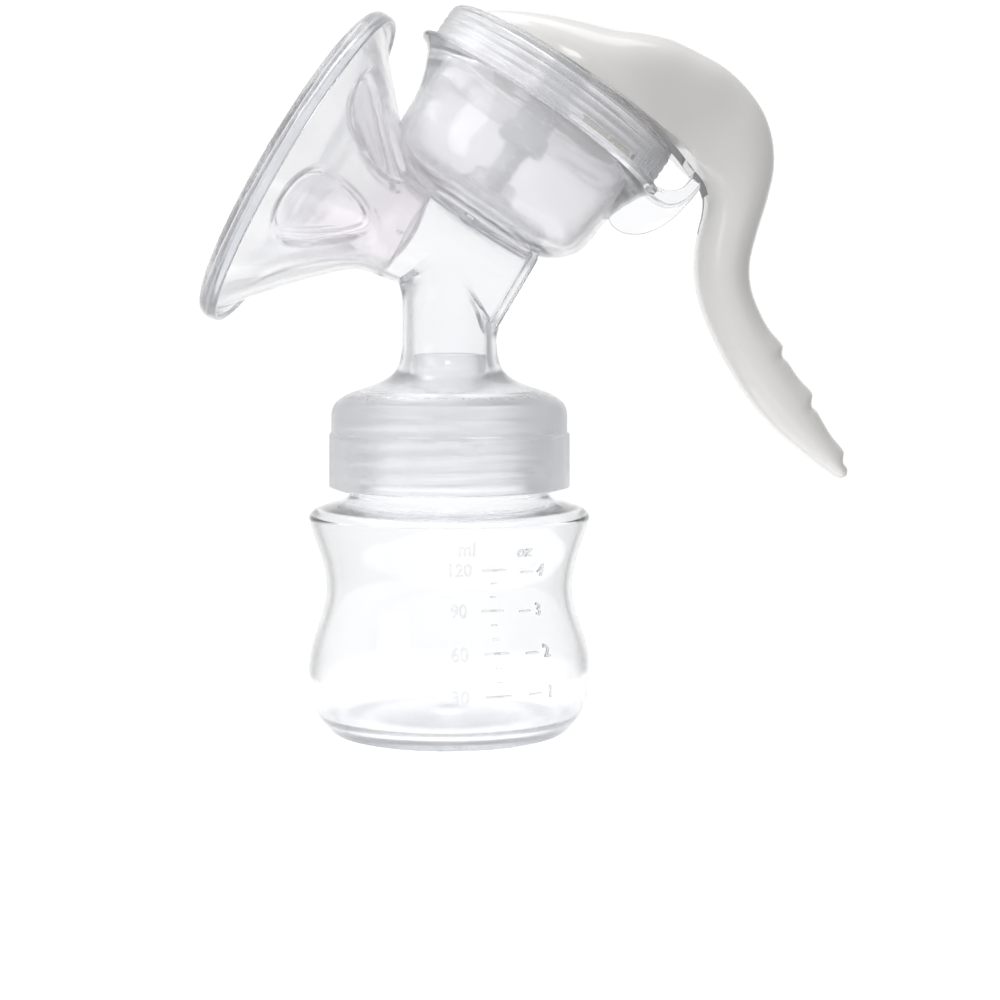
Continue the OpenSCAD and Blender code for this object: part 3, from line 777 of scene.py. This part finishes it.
def stem():
    rod = revolve("stem_rod", [(0, -24.4), (3.9, -24.4), (4.2, -24.1), (4.2, -22.6), (3.9, -22.3), (2.9, -21.6), (2.75, -21.2),
                               (2.75, -19.2), (2.75, -17.9), (3.15, -17.7), (3.15, -16.9), (2.75, -16.7), (2.75, -12.2), (3.0, -10.9),
                               (3.6, -9.6), (3.6, -9.3), (0, -9.3)], 64, CUP)
    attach(rod, "stem")
    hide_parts("stem")
    dress(rod, M_STEM)
    block = prism("yoke", [(-6, -8.9), (-5.4, -9.5), (5.4, -9.5), (6, -8.9), (6, -3.2), (4.7, -2.4), (4.7, 4.0), (-4.7, 4.0), (-4.7, -2.4), (-6, -3.2)],
                  -5, 5, CUP, 0.5)
    for s in (-1, 1):
        y0, y1 = (2.5, 5.0) if s > 0 else (-5.0, -2.5)
        arm = prism("prong", [(-4, 3.0), (4, 3.0), (4, 11.5), (3.0, 14.6), (1.2, 15.5), (-1.2, 15.5), (-3.0, 14.6), (-4, 11.5)], y0, y1, CUP, 0.35)
        boolean(block, arm, "UNION")
    boolean(block, ybar("cross", 0, 12.95, 1.9, 9.0, CUP), "UNION")
    finish_shading(block, 30)
    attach(block, "stem")
    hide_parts("stem_yoke")
    dress(block, M_STEM)


# ------------------------------------------------------------------ handle
def cup_point(u, z):
    return (CUP_X + u * math.cos(CUP_TILT) + z * math.sin(CUP_TILT), CUP_Z - u * math.sin(CUP_TILT) + z * math.cos(CUP_TILT))


def st(u, o, b, k):
    i = cup_point(u, 10.9)
    return [o[0], o[1], i[0], i[1], b, k]


STATIONS = [
    st(-24.9, (7.2, 169.2), 6, 0), st(-21.5, (11, 169.3), 14.5, 0), st(-16, (18, 168.9), 20.5, 0),
    st(-10, (25, 168.0), 24, 0), st(-3.5, (32, 166.5), 26, 0), st(4, (39, 164.9), 27, 0),
    st(11.5, (46, 164.2), 26.5, 0), st(18.5, (52.5, 162.8), 24.5, 0), st(25, (59, 159.9), 21.5, 0),
    st(31, (65.3, 156.4), 18.5, 0),
    [70.5, 151.6, 57.2, 132.0, 16.3, 0.1], [74.4, 146.0, 59.4, 129.0, 15.2, 0.3], [76.5, 139.5, 60.3, 125.8, 14.4, 0.6],
    [76.8, 132.5, 60.1, 122.1, 13.8, 0.85], [75.2, 125.0, 59.1, 117.9, 13.3, 1], [72.9, 117.5, 58.3, 113.0, 12.9, 1],
    [71.2, 110.5, 58.2, 107.5, 12.6, 1], [71.4, 104.5, 59.2, 101.5, 12.3, 1], [73.4, 98.9, 61.2, 95.7, 12.1, 1],
    [76.3, 93.4, 64.0, 89.6, 11.9, 1], [79.4, 88.2, 67.6, 83.2, 11.7, 1], [82.9, 82.6, 71.8, 76.9, 11.4, 1],
    [86.0, 77.0, 76.6, 71.4, 11, 1], [89.2, 71.4, 81.6, 67.0, 10.4, 1], [92.0, 66.2, 86.3, 63.2, 9.5, 1],
    [93.9, 62.4, 90.0, 60.4, 7.6, 1], [94.15, 60.6, 91.9, 59.3, 5.0, 1]]
HOLLOW = [16.5, 20.5, 23, 24.2, 23.8, 21.6, 15.5, 6.8, 6.8, 6.8, 6.8]


def loft(name, rows, m, bumps=False, floor=0.03):
    t = np.arange(m) * 2 * math.pi / m
    c, q = np.cos(t), np.sin(t)
    verts = []
    for s in rows:
        f = max(s[5], floor) - 1
        v = np.where(q >= 0, f + (1 - f) * np.abs(q) ** 0.9, f - (1 + f) * np.abs(q) ** 0.9)
        y = s[4] * np.sign(c) * np.abs(c) ** 0.85
        mid = np.array([(s[0] + s[2]) / 2, (s[1] + s[3]) / 2])
        half = np.array([(s[0] - s[2]) / 2, (s[1] - s[3]) / 2])
        x = mid[0] + v * half[0]
        z = mid[1] + v * half[1]
        if bumps:
            # each grip ridge rises slowly from above and ends in a small notch
            h = 0.0
            for bz, amp in ((90.6, 1.0), (79.0, 1.15), (65.6, 1.0)):
                e = (s[1] - bz) / 0.86
                h += amp * math.exp(-(e / (3.4 if e > 0 else 1.15)) ** 2) - 0.45 * math.exp(-((e + 2.6) / 1.0) ** 2)
            w = np.clip(q, 0, 1) ** 1.2
            d = half / (np.linalg.norm(half) + 1e-9)
            x = x + d[0] * h * w
            z = z + d[1] * h * w
        verts += list(zip(x, y, z))
    n = len(rows)
    a = len(verts)
    verts.append(((rows[0][0] + rows[0][2]) / 2, 0, (rows[0][1] + rows[0][3]) / 2))
    verts.append(((rows[-1][0] + rows[-1][2]) / 2, 0, (rows[-1][1] + rows[-1][3]) / 2))
    faces = []
    for i in range(n - 1):
        for j in range(m):
            k = (j + 1) % m
            faces.append((i * m + j, (i + 1) * m + j, (i + 1) * m + k, i * m + k))
    for j in range(m):
        k = (j + 1) % m
        faces.append((a, j, k))
        faces.append((a + 1, (n - 1) * m + k, (n - 1) * m + j))
    return mesh_object(name, verts, faces, ROW, 50)


def handle():
    rows = smooth(STATIONS, 14)
    ob = loft("squeeze_handle", rows, 96, True)
    hollow = []
    for i, b in enumerate(HOLLOW):
        s = STATIONS[i + 2]
        d = np.array([s[0] - s[2], s[1] - s[3]])
        d /= np.linalg.norm(d)
        hollow.append([s[0] - 2.6 * d[0], s[1] - 2.6 * d[1], s[2] - 4 * d[0], s[3] - 4 * d[1], b, 0])
    boolean(ob, loft("hollow", smooth(hollow, 6), 72), "DIFFERENCE")
    rib = prism("rib", [(-9, 8), (5.5, 8), (5.5, 25.2), (-9, 19.6)], -1.5, 1.5, CUP, 0.3)
    boolean(ob, rib, "UNION")
    slot_cut = prism("slot", [(p[0], p[1]) for p in arc(-4.6, 12.95, 2.5, 90, 270, 12) + arc(1.4, 12.95, 2.5, -90, 90, 12)], -4, 4, CUP)
    boolean(ob, slot_cut, "DIFFERENCE")
    boolean(ob, ybar("hole", 37.7, 12.95, 2.02, 24.2, CUP), "DIFFERENCE")
    # a narrow groove clears the bracket's web when the handle is squeezed
    boolean(ob, prism("groove", [(55.0, 131.0), (66.0, 131.0), (65.0, 125.0), (63.4, 121.0), (60.0, 117.6), (55.0, 116.0)], -1.7, 1.7), "DIFFERENCE")
    finish_shading(ob, 40)
    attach(ob, "handle")
    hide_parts("handle")
    dress(ob, M_HANDLE)
    bar = ybar("pivot_axle", 37.7, 12.95, 2.0, 24, CUP, 64, 0.4)
    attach(bar, "handle")
    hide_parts("pivot_bar")
    dress(bar, M_HANDLE)


bottle()
pump_body()
cushion()
valve()
membrane()
ring()
stem()
handle()

# ------------------------------------------------------------------ stage, light, camera
scene = bpy.context.scene


def floor():
    n, rings = 96, [0.0, 0.03, 0.06, 0.085, 0.1, 0.108]
    verts, faces = [(0, 0, 0)], []
    for r in rings[1:]:
        verts += [(r * math.cos(2 * math.pi * j / n), r * math.sin(2 * math.pi * j / n), 0) for j in range(n)]
    for j in range(n):
        faces.append((0, 1 + j, 1 + (j + 1) % n))
    for i in range(len(rings) - 2):
        for j in range(n):
            a, b = 1 + i * n, 1 + (i + 1) * n
            k = (j + 1) % n
            faces.append((a + j, b + j, b + k, a + k))
    me = bpy.data.meshes.new("floor")
    me.from_pydata(verts, [], faces)
    ob = bpy.data.objects.new("floor", me)
    scene.collection.objects.link(ob)
    ob.location = (0.018, 0, -0.0002)
    mat, nt, out, b = tree("floor_pale")
    nt.links.new(two_tone(nt, noise(nt, 3, 2), (0.93, 0.93, 0.935), (0.95, 0.95, 0.955)), b.inputs["Base Color"])
    b.inputs["Roughness"].default_value = 0.75
    b.inputs["Specular IOR Level"].default_value = 0.1
    b.inputs["Emission Color"].default_value = (1, 1, 1, 1)
    b.inputs["Emission Strength"].default_value = 0.30
    nt.links.new(b.outputs[0], out.inputs["Surface"])
    me.materials.append(mat)


floor()

world = bpy.data.worlds.new("studio")
scene.world = world
world.use_nodes = True
nt = world.node_tree
nt.nodes.clear()
w_out = nt.nodes.new("ShaderNodeOutputWorld")
bg = nt.nodes.new("ShaderNodeBackground")
tc = nt.nodes.new("ShaderNodeTexCoord")
sep = nt.nodes.new("ShaderNodeSeparateXYZ")
nt.links.new(tc.outputs["Generated"], sep.inputs[0])
back = nt.nodes.new("ShaderNodeMapRange")
back.interpolation_type = "SMOOTHSTEP"
back.inputs["From Min"].default_value, back.inputs["From Max"].default_value = 0.83, 0.945
back.inputs["To Min"].default_value, back.inputs["To Max"].default_value = 0.66, 1.06
nt.links.new(sep.outputs["Y"], back.inputs["Value"])
over = nt.nodes.new("ShaderNodeMapRange")
over.interpolation_type = "SMOOTHSTEP"
over.inputs["From Min"].default_value, over.inputs["From Max"].default_value = 0.35, 0.95
over.inputs["To Min"].default_value, over.inputs["To Max"].default_value = 0.66, 0.92
nt.links.new(sep.outputs["Z"], over.inputs["Value"])
mul = nt.nodes.new("ShaderNodeMath")
mul.operation = "MAXIMUM"
nt.links.new(back.outputs[0], mul.inputs[0])
nt.links.new(over.outputs[0], mul.inputs[1])
comb = nt.nodes.new("ShaderNodeCombineColor")
for k in ("Red", "Green", "Blue"):
    nt.links.new(mul.outputs[0], comb.inputs[k])
side = nt.nodes.new("ShaderNodeMapRange")
side.interpolation_type = "SMOOTHSTEP"
side.inputs["From Min"].default_value, side.inputs["From Max"].default_value = 0.35, 0.95
side.inputs["To Min"].default_value, side.inputs["To Max"].default_value = 1.0, 0.48
nt.links.new(sep.outputs["X"], side.inputs["Value"])
mul2 = nt.nodes.new("ShaderNodeMath")
mul2.operation = "MULTIPLY"
nt.links.new(mul.outputs[0], mul2.inputs[0])
nt.links.new(side.outputs[0], mul2.inputs[1])
for k in ("Red", "Green", "Blue"):
    nt.links.new(mul2.outputs[0], comb.inputs[k])
nt.links.new(comb.outputs[0], bg.inputs["Color"])
bg.inputs["Strength"].default_value = 1.01
nt.links.new(bg.outputs[0], w_out.inputs["Surface"])


def area(name, loc, target, size, power, colour=(1, 1, 1)):
    li = bpy.data.lights.new(name, "AREA")
    li.shape, li.size, li.size_y, li.energy, li.color = "RECTANGLE", size[0], size[1], power, colour
    ob = bpy.data.objects.new(name, li)
    scene.collection.objects.link(ob)
    ob.location = loc
    ob.rotation_euler = (Vector(target) - Vector(loc)).to_track_quat("-Z", "Y").to_euler()
    return ob


mid = (0.015, 0, 0.085)
area("key", (-0.35, 0.10, 0.80), mid, (0.6, 0.6), 1.8)
area("fill", (-0.55, -0.45, 0.40), mid, (0.35, 0.5), 0.7)
area("spark", (-0.03, -0.62, 0.52), (0, 0, 0.09), (0.14, 0.14), 0.35)
area("top", (0.10, 0.25, 0.90), mid, (0.6, 0.4), 0.8)

cam = bpy.data.cameras.new("camera")
cam_ob = bpy.data.objects.new("camera", cam)
scene.collection.objects.link(cam_ob)
cam.lens, cam.sensor_width = 68.15, 36.0
cam.shift_y = -0.15
cam.clip_start, cam.clip_end = 0.01, 50
cam_ob.location = (0.012, -0.450, 0.0897)
cam_ob.rotation_euler = (math.radians(90), 0, 0)
scene.camera = cam_ob
scene.view_settings.view_transform = "Standard"
scene.cycles.max_bounces = 28
scene.cycles.transmission_bounces = 28
scene.cycles.transparent_max_bounces = 32
scene.cycles.glossy_bounces = 8
scene.cycles.diffuse_bounces = 4
scene.cycles.sample_clamp_indirect = 4.0
